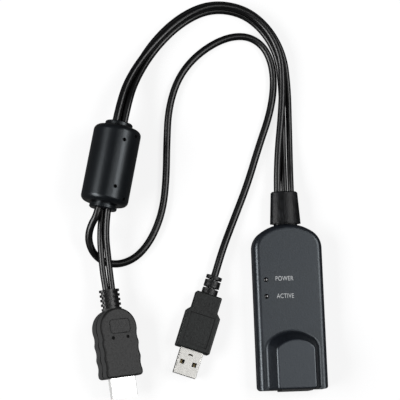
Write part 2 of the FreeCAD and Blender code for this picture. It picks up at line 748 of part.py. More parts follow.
def make_ferrite_jacket():
    body = new_body("ferrite_jacket_moulding")
    half, radius = cell("jacket_length") / 2, cell("jacket_diameter") / 2
    shoulder, groove = cell("jacket_shoulder"), cell("jacket_groove")
    collar, bevel = cell("collar_diameter") / 2, cell("collar_bevel")
    throat = collar - groove
    rim = half + groove
    end = rim + cell("collar_length")
    profile = draw(sketch_at(body, "XY_Plane", 0, "Profile"), [
        (0, -end), (collar - bevel, -end), (collar, -end + bevel), (collar, -rim), (throat, -rim),
        (throat, -half), (radius - shoulder, -half, shoulder), (radius, -half + shoulder),
        (radius, half - shoulder, shoulder), (radius - shoulder, half), (throat, half), (throat, rim),
        (collar, rim), (collar, end - bevel), (collar - bevel, end), (0, end),
    ])
    feature(body, "Revolution", "Jacket", Profile=profile, ReferenceAxis=(profile, ["V_Axis"]), Angle=360)
    deep, gap = cell("core_length") / 2 + cell("core_gap"), cell("core_gap")
    cavity = draw(sketch_at(body, "XY_Plane", 0, "CoreSeat"),
                  box_corners(as_size(0), cell("core_diameter") / 2 + gap, -deep, deep))
    feature(body, "Groove", "CoreSpace", Profile=cavity, ReferenceAxis=(cavity, ["V_Axis"]), Angle=360)
    bores = sketch_at(body, "XZ_Plane", end, "CordBores")
    for x, z, cord in ferrite_cords:
        circle(bores, x, z, cell(cord) / 2 + cell("ferrite_gap"))
    pocket(body, bores, end * 2, "CordHoles", reverse=True)

    pins = []
    for number, (turn, along) in enumerate(pin_marks, start=1):
        pin = doc.addObject("Part::Cylinder", "PinMark%d" % number)
        bind(pin, "Radius", cell("pin_diameter") / 2)
        bind(pin, "Height", cell("pin_depth") * 2)
        lean = math.radians(turn)
        foot = SIZES["jacket_diameter"] / 2 - SIZES["pin_depth"]
        pin.Placement = Placement(Vector(foot * math.sin(lean), along, foot * math.cos(lean)),
                                  Rotation(Vector(0, 1, 0), turn))
        pins.append(pin)
    marks = doc.addObject("Part::MultiFuse", "PinMarks")
    marks.Shapes = pins
    jacket = doc.addObject("Part::Cut", "ferrite_jacket")
    jacket.Base, jacket.Tool = body, marks
    jacket.Placement = FERRITE_PLACE
    return jacket


# ---------------------------------------------------------------------------------------------------------------
# Plugs. Each is drawn with its front at y = 0 and its cord towards +Y, and then laid in place.
# ---------------------------------------------------------------------------------------------------------------
def add_ribs(body, oval, first, thickness, pitch, count, name):
    """Equal ribs along a strain relief."""
    rib = draw(sketch_at(body, "XZ_Plane", first, name + "Outline"), oval)
    start = pad(body, rib, thickness, name + "First", reverse=True)
    axis = next(item for item in body.Origin.OriginFeatures if item.Role == "Y_Axis")
    return feature(body, "LinearPattern", name + "Row", Originals=[start], Direction=(axis, [""]),
                   Length=pitch * (count - 1), Occurrences=count)


VIDEO_PLACE = Placement(Vector(-88.32, -41.93, 8.95), Rotation(Vector(0, 0, 1), 6.2) * Rotation(Vector(0, 1, 0), 19.5))
video_back = cell("video_length") + cell("video_boot_length")


def arc_radius(half_chord, sag):
    """The radius of an arc from half its chord and its height."""
    return (half_chord * half_chord + sag * sag) / (2 * sag)


def wave_side():
    """The right side of the grip, front to round back: three shallow hollows with soft crests between them."""
    half, depth, start = cell("video_width") / 2, cell("wave_depth"), cell("wave_start")
    pitch = (cell("video_length") - half - start - cell("wave_run_out")) / 3
    hollow = arc_radius(pitch / 3, depth * 2 / 3)
    crest = arc_radius(pitch / 6, depth / 3)
    turn = half - depth / 3
    points = [(half, start, crest)]
    for number in range(3):
        near = start + pitch * number + pitch / 6
        points.append((turn, near, -hollow))
        points.append((turn, near + pitch * 2 / 3, crest))
    points.append((half, start + pitch * 3))
    return points


def mirrored_side(points):
    """The same side on the left, drawn back to front so that the outline keeps its direction."""
    flipped = [(-point[0], point[1]) for point in reversed(points)]
    radii = [point[2:] for point in reversed(points[:-1])]
    return [corner + radius for corner, radius in zip(flipped, radii)] + flipped[-1:]


def make_video_grip():
    body = new_body("video_plug_grip")
    half, thick = cell("video_width") / 2, cell("video_thickness")
    round_y = cell("video_length") - half
    plan = draw(sketch_at(body, "XY_Plane", -thick / 2, "Plan"),
                [(-half, 0), (half, 0)] + wave_side() + [(half, round_y, half), (0, round_y + half, half)]
                + [(-half, round_y)] + mirrored_side(wave_side()))
    block = pad(body, plan, thick, "Block")
    level = SIZES["video_thickness"] / 2
    block = fillet(body, block, cell("video_front_corner"), "FrontCorners",
                   lambda edge: edge.BoundBox.ZLength > 1 and edge.BoundBox.YMax < 0.01)
    fillet(body, block, cell("video_edge_radius"), "SoftEdges",
           lambda edge: flat_at(edge, "Z", level) or flat_at(edge, "Z", -level))

    width, depth = cell("groove_width"), cell("groove_depth")
    out = half + 2
    inside = half - depth
    ring = draw(sketch_at(body, "XY_Plane", width / 2, "PartingLine"), [
        (out, -1), (out, round_y, out), (0, round_y + out, out), (-out, round_y), (-out, -1), (-inside, -1),
        (-inside, round_y, -inside), (0, round_y + inside, -inside), (inside, round_y), (inside, -1),
    ])
    pocket(body, ring, width, "PartingGroove")

    boot = oval_corners(cell("video_boot_width"), cell("video_boot_height"), 2.0)
    core = draw(sketch_at(body, "XZ_Plane", cell("video_length") - 3, "BootCore"), boot)
    pad(body, core, cell("video_boot_length") + 3, "Boot", reverse=True)
    ribs = oval_corners(cell("video_rib_width"), cell("video_rib_height"), 2.4)
    first = video_back - 4 * cell("video_rib_pitch") - cell("video_rib_thickness")
    add_ribs(body, ribs, first, cell("video_rib_thickness"), cell("video_rib_pitch"), 5, "Rib")

    label = draw(sketch_at(body, "XY_Plane", thick / 2, "LabelPad"), rounded_box(0.4, 25.6, 10.8, 7.0, 1.6))
    pad(body, label, 0.3, "RaisedPad")
    dimples = sketch_at(body, "XY_Plane", thick / 2, "PinMarks")
    for x in (-4.05, 4.05):
        circle(dimples, x, 19.9, 0.8)
    pocket(body, dimples, 0.6, "Dimples")

    mouth = draw(sketch_at(body, "XZ_Plane", 0, "ShellSeat"), shell_outline(-cell("shell_gap")))
    pocket(body, mouth, cell("video_shell_seat") + cell("shell_gap"), "ShellSlot")
    for name, side in (("Outer", -2), ("Inner", 2)):
        bore = circle(sketch_at(body, "XZ_Plane", video_back, name + "Bore"), cell("video_cord_spacing") / side, 0, video_bore)
        pocket(body, bore, cell("cord_anchor"), name + "CordHole", reverse=True)
    body.Placement = VIDEO_PLACE
    return body


def rounded_box(x, y, width, height, corner):
    """A rectangle with round corners, from its centre and sizes."""
    x, y, across, along = as_size(x), as_size(y), as_size(width) / 2, as_size(height) / 2
    corner = as_size(corner)
    return [
        (x - across + corner, y - along), (x + across - corner, y - along, corner),
        (x + across, y - along + corner), (x + across, y + along - corner, corner),
        (x + across - corner, y + along), (x - across + corner, y + along, corner),
        (x - across, y + along - corner), (x - across, y - along + corner, corner),
    ]


def shell_outline(inset):
    """The six-sided mouth of the video plug: a wide top, and a bottom drawn in by sloping corners."""
    inset = as_size(inset)
    half = cell("video_shell_width") / 2 - inset
    high = cell("video_shell_height") / 2
    top, low = high - inset, inset - high
    slope = cell("video_shell_height") * 0.32
    run = inset * 0.45
    return [(-half, top), (-half, low + slope), (slope + run - half, low), (half - slope - run, low),
            (half, low + slope), (half, top)]


def make_video_shell():
    body = new_body("video_plug_shell")
    front, seat = -cell("video_shell_reach"), cell("video_shell_seat")
    outside = draw(sketch_at(body, "XZ_Plane", front, "Outside"), shell_outline(0))
    sleeve = pad(body, outside, seat - front, "Sleeve", reverse=True)
    fillet(body, sleeve, 0.5, "Folds", lambda edge: edge.BoundBox.YLength > 5)
    inside = draw(sketch_at(body, "XZ_Plane", front, "Inside"), shell_outline(cell("shell_thickness")))
    pocket(body, inside, seat - front, "Mouth")
    body.Placement = VIDEO_PLACE
    return body


def make_video_insert():
    """The insulator inside the shell, with the slot that takes the socket's tongue."""
    body = new_body("video_plug_insert")
    front, seat = 0.4 - cell("video_shell_reach"), cell("video_shell_seat")
    clear = cell("shell_thickness") + cell("shell_gap")
    outside = draw(sketch_at(body, "XZ_Plane", front, "Outside"), shell_outline(clear))
    pad(body, outside, seat - front, "Block", reverse=True)
    slot = draw(sketch_at(body, "XZ_Plane", front, "Slot"), box_corners(-5.7, 5.7, -0.55, 1.35))
    pocket(body, slot, 8.0, "Slot")
    body.Placement = VIDEO_PLACE
    return body


def make_video_contacts():
    """Nineteen flat contacts on the two long walls of the slot."""
    body = new_body("video_plug_contacts")
    body.AllowCompound = True
    front = 1.4 - cell("video_shell_reach")
    axis = next(item for item in body.Origin.OriginFeatures if item.Role == "X_Axis")
    for name, count, low, high in (("Upper", 10, 1.17, 1.35), ("Lower", 9, -0.55, -0.37)):
        start = -(count - 1) / 2
        blade = draw(sketch_at(body, "XZ_Plane", front, name + "Blade"),
                     box_corners(start - 0.2, start + 0.2, low, high))
        first = pad(body, blade, 6.9, name + "First", reverse=True)
        feature(body, "LinearPattern", name + "Row", Originals=[first], Direction=(axis, [""]),
                Length=as_size(count - 1), Occurrences=count)
    body.Placement = VIDEO_PLACE
    return body


USB_PLACE = Placement(Vector(-51.29, -29.04, SIZES["usb_thickness"] / 2), Rotation(Vector(0, 0, 1), -19.4))
usb_grip_length = cell("usb_wide_length") + cell("usb_shoulder") + cell("usb_narrow_length")
usb_back = usb_grip_length + cell("usb_boot_length")


def make_usb_grip():
    body = new_body("usb_plug_grip")
    wide, narrow, thick = cell("usb_width") / 2, cell("usb_narrow_width") / 2, cell("usb_thickness")
    shoulder = cell("usb_wide_length")
    neck = shoulder + cell("usb_shoulder")
    plan = draw(sketch_at(body, "XY_Plane", -thick / 2, "Plan"), [
        (-wide, 0), (wide, 0), (wide, shoulder), (narrow, neck), (narrow, usb_grip_length),
        (-narrow, usb_grip_length), (-narrow, neck), (-wide, shoulder),
    ])
    block = pad(body, plan, thick, "Block")
    level = SIZES["usb_thickness"] / 2
    upright = fillet(body, block, cell("usb_edge_radius"), "UprightEdges",
                     lambda edge: edge.BoundBox.ZLength > 1)
    fillet(body, upright, cell("usb_edge_radius"), "SoftEdges",
           lambda edge: flat_at(edge, "Z", level) or flat_at(edge, "Z", -level))
    panel = draw(sketch_at(body, "XY_Plane", thick / 2, "Panel"),
                 box_corners(2.6 - wide, wide - 2.6, as_size(2.6), shoulder - 0.6))
    pocket(body, panel, 0.25, "PanelRecess")

    for side in (-1, 1):
        notch = draw(sketch_at(body, "XY_Plane", thick / 4, "Ridge%d" % (side + 2)),
                     box_corners(*sorted((wide * side, (wide - 0.35) * side), key=lambda size: size.value), 3.0, 3.5))
        first = pocket(body, notch, thick / 2, "Notch%d" % (side + 2))
        axis = next(item for item in body.Origin.OriginFeatures if item.Role == "Y_Axis")
        feature(body, "LinearPattern", "Notches%d" % (side + 2), Originals=[first], Direction=(axis, [""]),
                Length=as_size(8.0), Occurrences=9)

    boot = oval_corners(cell("usb_boot_width"), cell("usb_boot_height"), 2.0)
    core = draw(sketch_at(body, "XZ_Plane", usb_grip_length - 1, "BootCore"), boot)
    pad(body, core, cell("usb_boot_length") + 1, "Boot", reverse=True)
    end_rib = usb_back - cell("usb_end_rib")
    middle_rib = end_rib - cell("usb_rib_gap") - cell("usb_middle_rib")
    foot = middle_rib - cell("usb_rib_gap")
    ribs = (("Foot", usb_grip_length, foot), ("Middle", middle_rib, middle_rib + cell("usb_middle_rib")),
            ("End", end_rib, usb_back))
    for name, near, far in ribs:
        rib = draw(sketch_at(body, "XZ_Plane", near, name + "RibOutline"),
                   oval_corners(cell("usb_rib_width"), cell("usb_rib_height"), 2.2))
        pad(body, rib, far - near, name + "Rib", reverse=True)

    half, rise = cell("usb_shell_width") / 2 + cell("shell_gap"), cell("usb_shell_height") / 2 + cell("shell_gap")
    mouth = draw(sketch_at(body, "XZ_Plane", 0, "ShellSeat"), box_corners(-half, half, -rise, rise))
    pocket(body, mouth, cell("usb_shell_seat") + cell("shell_gap"), "ShellSlot")
    bore = circle(sketch_at(body, "XZ_Plane", usb_back, "CordBore"), 0, 0, usb_bore)
    pocket(body, bore, cell("usb_cord_anchor"), "CordHole", reverse=True)
    body.Placement = USB_PLACE
    return body


def make_usb_shell():
    body = new_body("usb_plug_shell")
    front, seat = -cell("usb_shell_reach"), cell("usb_shell_seat")
    half, rise, skin = cell("usb_shell_width") / 2, cell("usb_shell_height") / 2, cell("shell_thickness")
    outside = draw(sketch_at(body, "XZ_Plane", front, "Outside"), box_corners(-half, half, -rise, rise))
    sleeve = pad(body, outside, seat - front, "Sleeve", reverse=True)
    fillet(body, sleeve, 0.5, "Folds", lambda edge: edge.BoundBox.YLength > 5)
    inside = draw(sketch_at(body, "XZ_Plane", front, "Inside"),
                  box_corners(skin - half, half - skin, skin - rise, rise - skin))
    pocket(body, inside, seat - front, "Mouth")
    windows = sketch_at(body, "XY_Plane", rise, "Windows")
    for x in (-3.2, 3.2):
        draw(windows, box_corners(x - 1.15, x + 1.15, -8.15, -5.85))
    pocket(body, windows, cell("usb_shell_height"), "LatchWindows")
    lance = sketch_at(body, "XY_Plane", rise, "Lance")
    draw(lance, [(-1.4, -3.3), (-0.7, -3.0), (0.7, -3.0), (1.4, -3.3), (1.1, -2.5), (0.5, -2.2), (-0.5, -2.2), (-1.1, -2.5)])
    pocket(body, lance, skin * 2, "LanceCut")
    body.Placement = USB_PLACE
    return body


def make_usb_insert():
    """The insulator: a block at the back of the shell and the tongue that carries the contacts."""
    body = new_body("usb_plug_insert")
    clear = cell("shell_thickness") + cell("shell_gap")
    half, rise = cell("usb_shell_width") / 2 - clear, cell("usb_shell_height") / 2 - clear
    front, seat = 0.6 - cell("usb_shell_reach"), cell("usb_shell_seat")
    tongue = draw(sketch_at(body, "XZ_Plane", front, "Tongue"),
                  box_corners(-half, half, -rise, cell("tongue_height") - rise))
    pad(body, tongue, seat - front, "TonguePad", reverse=True)
    block = draw(sketch_at(body, "XZ_Plane", as_size(-1.5), "Block"), box_corners(-half, half, -rise, rise))
    pad(body, block, seat + 1.5, "BlockPad", reverse=True)
    body.Placement = USB_PLACE
    return body


def make_usb_contacts():
    body = new_body("usb_plug_contacts")
    body.AllowCompound = True
    level = cell("tongue_height") + cell("shell_thickness") + cell("shell_gap") - cell("usb_shell_height") / 2
    plan = sketch_at(body, "XY_Plane", level, "Plan")
    front = 1.2 - cell("usb_shell_reach")
    for x in (-3.5, -1.0, 1.0, 3.5):
        draw(plan, box_corners(x - 0.5, x + 0.5, front, as_size(-1.5)))
    pad(body, plan, 0.15, "Strips")
    body.Placement = USB_PLACE
    return body


# ---------------------------------------------------------------------------------------------------------------
# Cords. Each lies on the surface from point to point, rises through the ferrite and ends in its plug.
# ---------------------------------------------------------------------------------------------------------------
USB_ROUTE = [
    (-3.45, 27.85, 5.5), (-3.5, 42.0, 5.5), (-3.4, 57.0, 5.5), (-2.1, 73.7, 5.4), (0.3, 90.7, 5.3),
    (1.9, 107.7, 5.3), (1.7, 125.1, 5.3), (-5.3, 140.0, 5.3), (-17.3, 150.0, 5.3), (-34.3, 152.5, 5.3),
    (-50.9, 145.0, 5.3), (-66.4, 130.6, 5.9), (-79.4, 113.0, 9.8), (-85.7, 96.6, 13.45),
    (-93.8, 60.1, 13.45), (-98, 41.3, 13.45), (-101.9, 35.0, 10.6), (-102.9, 28.4, 7.4),
    (-100.3, 21.8, 4.5), (-94.8, 17.4, 2.4), (-87.6, 16.1, 1.9), (-79.6, 18.6, 1.9), (-72.9, 24.6, 1.9),
    (-67.2, 33.9, 1.9), (-63, 45.9, 1.9), (-61, 61.3, 1.9), (-60.1, 79.3, 1.9), (-58.6, 97.3, 1.9),
    (-53.1, 113.6, 1.9), (-42.8, 126.0, 1.9), (-28.6, 134.7, 1.9), (-16.2, 136.5, 1.9), (-7.2, 131.3, 1.9),
    (-3.1, 121.7, 1.9), (-2.4, 108.7, 1.9), (-5.3, 93.7, 1.9), (-11.8, 76.1, 1.9), (-18.5, 56.6, 1.9),
    (-26.1, 39.0, 1.9), (-33.1, 23.1, 4), (-38.3, 7.7, 4), (-43.3, -6.4, 4),
]
INNER_VIDEO_ROUTE = [
    (0.25, 27.85, 5.5), (0.2, 41.5, 5.5), (0.3, 56.0, 5.5), (1, 71.7, 2.6), (1.6, 88.7, 1.65),
    (1.9, 107.2, 1.65), (0.6, 124.8, 1.65), (-6.4, 138.7, 1.65), (-17.9, 148.3, 1.65), (-34, 150.6, 1.65),
    (-49.8, 143.4, 1.65), (-64.6, 129.2, 2.6), (-76, 111.3, 8.2), (-81.3, 95.6, 13.65),
    (-87.8, 66.3, 13.65), (-94.7, 35.6, 13.65), (-92.5, 14.5, 8.5), (-91.4, 1.8, 8.38), (-90.2, -9.1, 8.38),
]
OUTER_VIDEO_ROUTE = [
    (3.8, 27.85, 5.5), (3.75, 41.5, 5.5), (3.85, 56.0, 5.5), (4.7, 71.8, 2.6), (5.2, 88.8, 1.65),
    (5.4, 108.3, 1.65), (4, 125.9, 1.65), (-3.7, 141.3, 1.65), (-16.5, 151.7, 1.65), (-34.6, 154.3, 1.65),
    (-51.9, 146.6, 1.65), (-67.4, 131.6, 1.65), (-78.5, 112.6, 5.2), (-83.8, 96.2, 10.15),
    (-90.3, 66.9, 10.15), (-97.2, 36.2, 10.15), (-96.4, 14.1, 9.6), (-94.6, 1.4, 9.52), (-93.5, -9.4, 9.52),
]
TANGENT_SHARE = 0.45


def make_cord(label, route, diameter):
    """A round cord: straight runs joined by tangent arcs, each as large as its two runs allow."""
    points = [Vector(*point) for point in route]
    path, radii, last = [], [], points[0]
    for before, point, after in zip(points, points[1:], points[2:]):
        arriving, leaving = (point - before), (after - point)
        reach = TANGENT_SHARE * min(arriving.Length, leaving.Length)
        half_turn = arriving.getAngle(leaving) / 2
        radii.append(reach / math.tan(half_turn))
        arriving.normalize()
        leaving.normalize()
        start, finish = point - arriving * reach, point + leaving * reach
        inward = (leaving - arriving).normalize()
        sag = radii[-1] * (1 / math.cos(half_turn) - 1)
        path.append(Part.LineSegment(last, start).toShape())
        path.append(Part.Arc(start, point + inward * sag, finish).toShape())
        last = finish
    path.append(Part.LineSegment(last, points[-1]).toShape())
    spine = Part.Wire(path)
    ring = Part.Wire(Part.Circle(points[0], points[1] - points[0], diameter / 2).toShape())
    cord = doc.addObject("Part::Feature", label)
    cord.Shape = spine.makePipeShell([ring], True, False)
    cord.Placement = Placement()
    expected = math.pi * diameter ** 2 / 4 * spine.Length
    print("%s: length %.1f, tightest radius %.1f, volume %.4f of section times length"
          % (label, spine.Length, min(radii), cord.Shape.Volume / expected))
    return cord


# ---------------------------------------------------------------------------------------------------------------
# Build, check and write
# ---------------------------------------------------------------------------------------------------------------
pieces = [
    make_lower_shell(), make_upper_shell(), make_circuit_board(), make_cord_header(), make_screws(),
    make_network_jack(), make_jack_contacts(), make_jack_shield(), make_cord_boot(), make_ferrite_core(),
    make_ferrite_jacket(), make_video_grip(), make_video_shell(), make_video_insert(), make_video_contacts(),
    make_usb_grip(), make_usb_shell(), make_usb_insert(), make_usb_contacts(),
]
pieces += make_board_parts()
for light, place in zip(("power", "active"), light_places):
    pieces += make_light(light, place)
pieces.append(make_cord("usb_cord", USB_ROUTE, SIZES["usb_cord_diameter"]))
pieces.append(make_cord("video_cord_inner", INNER_VIDEO_ROUTE, SIZES["video_cord_diameter"]))
pieces.append(make_cord("video_cord_outer", OUTER_VIDEO_ROUTE, SIZES["video_cord_diameter"]))
doc.recompute()

for item in doc.Objects:
    if "Invalid" in item.State or "Error" in item.State:
        raise RuntimeError("%s (%s) failed: %s" % (item.Label, item.TypeId, item.State))
for piece in pieces:
    if piece.Shape.isNull() or not piece.Shape.isValid():
        raise RuntimeError("%s has no valid shape" % piece.Label)

os.makedirs("parts", exist_ok=True)
for piece in pieces:
    piece.Shape.exportStep("parts/%s.step" % piece.Label)
print("%d pieces" % len(pieces))
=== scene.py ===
import math

import bmesh
import bpy
from mathutils import Matrix, Vector


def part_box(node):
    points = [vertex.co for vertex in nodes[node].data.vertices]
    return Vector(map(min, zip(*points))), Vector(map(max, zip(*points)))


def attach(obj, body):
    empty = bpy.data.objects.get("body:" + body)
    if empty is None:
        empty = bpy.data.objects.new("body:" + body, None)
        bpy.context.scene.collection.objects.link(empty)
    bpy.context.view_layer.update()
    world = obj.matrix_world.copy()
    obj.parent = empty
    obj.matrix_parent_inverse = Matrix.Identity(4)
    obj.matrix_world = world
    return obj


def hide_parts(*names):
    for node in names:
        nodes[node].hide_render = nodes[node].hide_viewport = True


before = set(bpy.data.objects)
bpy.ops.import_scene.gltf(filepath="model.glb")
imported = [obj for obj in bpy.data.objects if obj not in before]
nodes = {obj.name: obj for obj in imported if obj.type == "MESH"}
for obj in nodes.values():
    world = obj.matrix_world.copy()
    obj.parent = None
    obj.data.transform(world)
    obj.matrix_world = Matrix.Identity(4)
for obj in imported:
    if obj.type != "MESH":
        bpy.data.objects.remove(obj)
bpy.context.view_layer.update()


# --------------------------------------------------------------------------------------------------
# Circuit board: a green glass-fibre laminate under a clear lacquer, cut to the outline of the case.
# It rests on the bosses of the lower shell, and the two case screws pass through it. The weave
# shows faintly.
# --------------------------------------------------------------------------------------------------
MM = 0.001
BOARD_GREEN = (0.015, 0.13, 0.06)
GLASS_DARK, GLASS_LIGHT = (0.010, 0.095, 0.045), (0.020, 0.155, 0.075)
WEAVE_WAVES, THREAD_STRETCH = 600.0, 6.0


class Link:
    """One output of a node tree, for use in plain sums."""

    def __init__(self, wiring, socket):
        self.wiring, self.socket = wiring, socket

    def math(self, operation, *others):
        return self.wiring.node("ShaderNodeMath", (self, *others), operation=operation)

    def __add__(self, other):
        return self.math("ADD", other)

    def __sub__(self, other):
        return self.math("SUBTRACT", other)

    def __rsub__(self, other):
        return self.wiring.node("ShaderNodeMath", (other, self), operation="SUBTRACT")

    def __mul__(self, other):
        return self.math("MULTIPLY", other)

    def __abs__(self):
        return self.math("ABSOLUTE")

    def most(self, other):
        return self.math("MAXIMUM", other)

    def rise(self, low, high):
        """0 below low, 1 above high, and a smooth step between them."""
        return self.wiring.node(
            "ShaderNodeMapRange", (self, low, high, 0.0, 1.0), interpolation_type="SMOOTHSTEP",
        )

    def band(self, low, full, fading, gone):
        """1 from full to fading, 0 below low and above gone, with smooth steps between."""
        return self.rise(low, full) * (1 - self.rise(fading, gone))

    __radd__ = __add__
    __rmul__ = __mul__


class Wiring:
    """A node tree, and one way to add any node to it."""

    def __init__(self, tree):
        self.tree = tree

    def node(self, kind, inputs=(), output=0, **settings):
        item = self.tree.nodes.new(kind)
        for key, value in settings.items():
            setattr(item, key, value)
        pairs = inputs.items() if isinstance(inputs, dict) else enumerate(inputs)
        for key, value in pairs:
            if isinstance(value, Link):
                self.tree.links.new(value.socket, item.inputs[key])
            else:
                item.inputs[key].default_value = value
        return Link(self, item.outputs[output]) if item.outputs else None


class Finish(Wiring):
    """A surface finish: one Principled shader whose colour, roughness and relief vary."""

    def __init__(self, name, color, roughness, turn=(0, 0, 0), centre=(0, 0, 0), **constants):
        self.material = bpy.data.materials.new(name)
        self.material.use_nodes = True
        super().__init__(self.material.node_tree)
        self.shader = self.tree.nodes["Principled BSDF"]
        self.shader.inputs["Base Color"].default_value = (*color, 1.0)
        self.shader.inputs["Roughness"].default_value = roughness
        for key, value in constants.items():
            self.shader.inputs[key.replace("_", " ")].default_value = value
        self.roughness = roughness
        self.color = None
        self.place = self.node("ShaderNodeTexCoord", output="Object")
        if any(turn) or any(centre):
            angles = [math.radians(angle) for angle in turn]
            middle = [part * MM for part in centre]
            inputs = {"Vector": self.place, "Location": middle, "Rotation": angles}
            self.place = self.node("ShaderNodeMapping", inputs, vector_type="TEXTURE")

    def axis(self, letter):
        return self.node("ShaderNodeSeparateXYZ", (self.place,), output=letter)

    def noise(self, waves, detail=2.0, rough=0.5, stretch=(1.0, 1.0, 1.0)):
        """Noise from 0 to 1, in waves per metre."""
        place = self.node("ShaderNodeVectorMath", (self.place, stretch), operation="MULTIPLY")
        inputs = {"Vector": place, "Scale": waves, "Detail": detail, "Roughness": rough}
        return self.node("ShaderNodeTexNoise", inputs)

    def feed(self, name, value):
        self.tree.links.new(value.socket, self.shader.inputs[name])

    def tone(self, dark, light, factor):
        """Colour from dark to light as factor goes from 0 to 1."""
        inputs = {"Factor": factor, "A": (*dark, 1.0), "B": (*light, 1.0)}
        self.color = self.node("ShaderNodeMix", inputs, "Result", data_type="RGBA")
        self.feed("Base Color", self.color)

    def paint_shade_light_or_tone(self, color, mask, roughness=0.85):
        """Another colour and roughness where mask is 1: painted shade in a hollow, painted light on
        a face, or a part of another colour.
        """
        inputs = {"Factor": mask, "A": self.color, "B": (*color, 1.0)}
        self.color = self.node("ShaderNodeMix", inputs, "Result", data_type="RGBA")
        self.feed("Base Color", self.color)
        self.roughness = self.roughness * (1 - mask) + mask * roughness
        self.feed("Roughness", self.roughness)

    def relief(self, height, distance):
        self.feed("Normal", self.node("ShaderNodeBump", {"Height": height, "Distance": distance}))

    def rub(self, mask, amount):
        """Smoother where mask is 1, as hands leave it."""
        self.roughness = self.roughness - mask * amount
        self.feed("Roughness", self.roughness)

    def vary(self, pattern, amount):
        """Roughness a little up and down with the pattern."""
        self.roughness = self.roughness + (pattern - 0.5) * amount
        self.feed("Roughness", self.roughness)


def dress(finish, *names):
    """Gives nodes of the frame one finish."""
    for name in names:
        mesh = nodes[name].data
        mesh.materials.clear()
        mesh.materials.append(finish.material)


laminate = Finish("laminate", BOARD_GREEN, roughness=0.36)
warp = laminate.noise(WEAVE_WAVES, detail=1.0, stretch=(THREAD_STRETCH, 1.0, 1.0))
weft = laminate.noise(WEAVE_WAVES, detail=1.0, stretch=(1.0, THREAD_STRETCH, 1.0))
laminate.tone(GLASS_DARK, GLASS_LIGHT, warp * 0.5 + weft * 0.5)
laminate.vary(warp, amount=0.10)
laminate.relief(warp + weft, distance=0.01 * MM)
dress(laminate, "circuit_board")


# --------------------------------------------------------------------------------------------------
# Parts on the board: chips and a transformer in black epoxy with a fine dull grain, and a crystal
# in a pressed steel can with drawing marks. All are soldered flat to the board.
# --------------------------------------------------------------------------------------------------
PATCH_WAVES, GRAIN_SHARE, PATCH_SHARE = 90.0, 0.7, 0.3
MOTTLE_BAND = (0.36, 0.64)
DRAWN_ALONG_Y = (1.0, 0.1, 1.0)
DRAWN_WAVES, DRAWN_SPREAD, DRAWN_DEPTH = 900.0, 0.14, 0.004 * MM
TARNISH_WAVES, TARNISH_SPREAD, TARNISH_BAND, TARNISH_TONE = 260.0, 0.10, (0.3, 0.7), 0.86


def moulded(
    name, color, roughness, grain, relief, contrast=0.14, spread=0.12, stretch=(1.0, 1.0, 1.0),
    **more,
):
    """Plastic from an etched mould: a fine grain, in patches a little more or less rubbed."""
    finish = Finish(name, color, roughness, **more)
    fine = finish.noise(grain, detail=3.0, rough=0.6, stretch=stretch)
    patches = finish.noise(PATCH_WAVES, detail=3.0)
    finish.vary(patches, spread)
    finish.vary(fine, spread)
    mottle = (fine * GRAIN_SHARE + patches * PATCH_SHARE).rise(*MOTTLE_BAND)
    dark, light = ([part * share for part in color] for share in (1 - contrast, 1 + contrast))
    finish.tone(dark, light, mottle)
    finish.relief(fine, relief)
    return finish


def plated(name, color, roughness, drawn=DRAWN_ALONG_Y, **more):
    """Plated sheet metal with faint drawing marks along one axis, and a cloudy tarnish."""
    finish = Finish(name, color, roughness, Metallic=1.0, **more)
    lines = finish.noise(DRAWN_WAVES, detail=3.0, stretch=drawn)
    cloud = finish.noise(TARNISH_WAVES, detail=3.0)
    finish.vary(lines, DRAWN_SPREAD)
    finish.vary(cloud, TARNISH_SPREAD)
    finish.tone([part * TARNISH_TONE for part in color], color, cloud.rise(*TARNISH_BAND))
    finish.relief(lines, DRAWN_DEPTH)
    return finish


epoxy = moulded("epoxy", (0.020, 0.020, 0.022), roughness=0.50, grain=2600.0, relief=0.02 * MM)
can_steel = plated("can_steel", (0.74, 0.75, 0.77), roughness=0.24)
dress(epoxy, "main_chip", "memory_chip", "usb_chip")
dress(epoxy, "line_transformer", "regulator", "board_filter")
dress(can_steel, "crystal")


# --------------------------------------------------------------------------------------------------
# Network jack: a black nylon block with eight gilded springs, in a folded tinned-steel screen. It
# is soldered to the near end of the board, and its mouth shows under the hood.
# --------------------------------------------------------------------------------------------------
nylon = moulded("nylon", (0.012, 0.012, 0.013), roughness=0.50, grain=2400.0, relief=0.02 * MM)
gilt = plated("gilt", (0.80, 0.60, 0.27), roughness=0.26)
screen_steel = plated("screen_steel", (0.60, 0.60, 0.61), roughness=0.34)
dress(nylon, "network_jack")
dress(gilt, "jack_contacts")
dress(screen_steel, "jack_shield")


# --------------------------------------------------------------------------------------------------
# Case: two shells of dark blue-grey plastic with a fine satin grain, the hood moulded in one with
# the lid, held together by screws from below. The long edges are rubbed a little smoother, and the
# hood's flat top is painted a little paler as painted light.
# --------------------------------------------------------------------------------------------------
LID_TOP, HOOD_TOP = 11.0 * MM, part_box("upper_shell")[1][2]
LID_EDGE = (LID_TOP - 2.4 * MM, LID_TOP - 1.6 * MM, LID_TOP - 0.15 * MM, LID_TOP)
HOOD_EDGE = (HOOD_TOP - 1.0 * MM, HOOD_TOP - 0.8 * MM, HOOD_TOP - 0.1 * MM, HOOD_TOP)
HOOD_FLAT, HOOD_PAINTED_LIGHT = (HOOD_TOP - 0.2 * MM, HOOD_TOP - 0.05 * MM), 0.9
CASE_BLUE, PAINTED_LIGHT_BLUE = (0.0058, 0.0074, 0.0112), (0.0125, 0.0150, 0.0205)
BLUE_SHINE = (0.86, 0.94, 1.0, 1.0)
case_plastic = moulded(
    "case_plastic", CASE_BLUE, roughness=0.42, grain=1100.0, relief=0.05 * MM, contrast=0.40,
    Specular_IOR_Level=0.78, Specular_Tint=BLUE_SHINE,
)
level = case_plastic.axis("Z")
# Painted light: the hood's flat top is painted a little paler.
case_plastic.paint_shade_light_or_tone(PAINTED_LIGHT_BLUE, level.rise(*HOOD_FLAT) * HOOD_PAINTED_LIGHT, roughness=0.42)
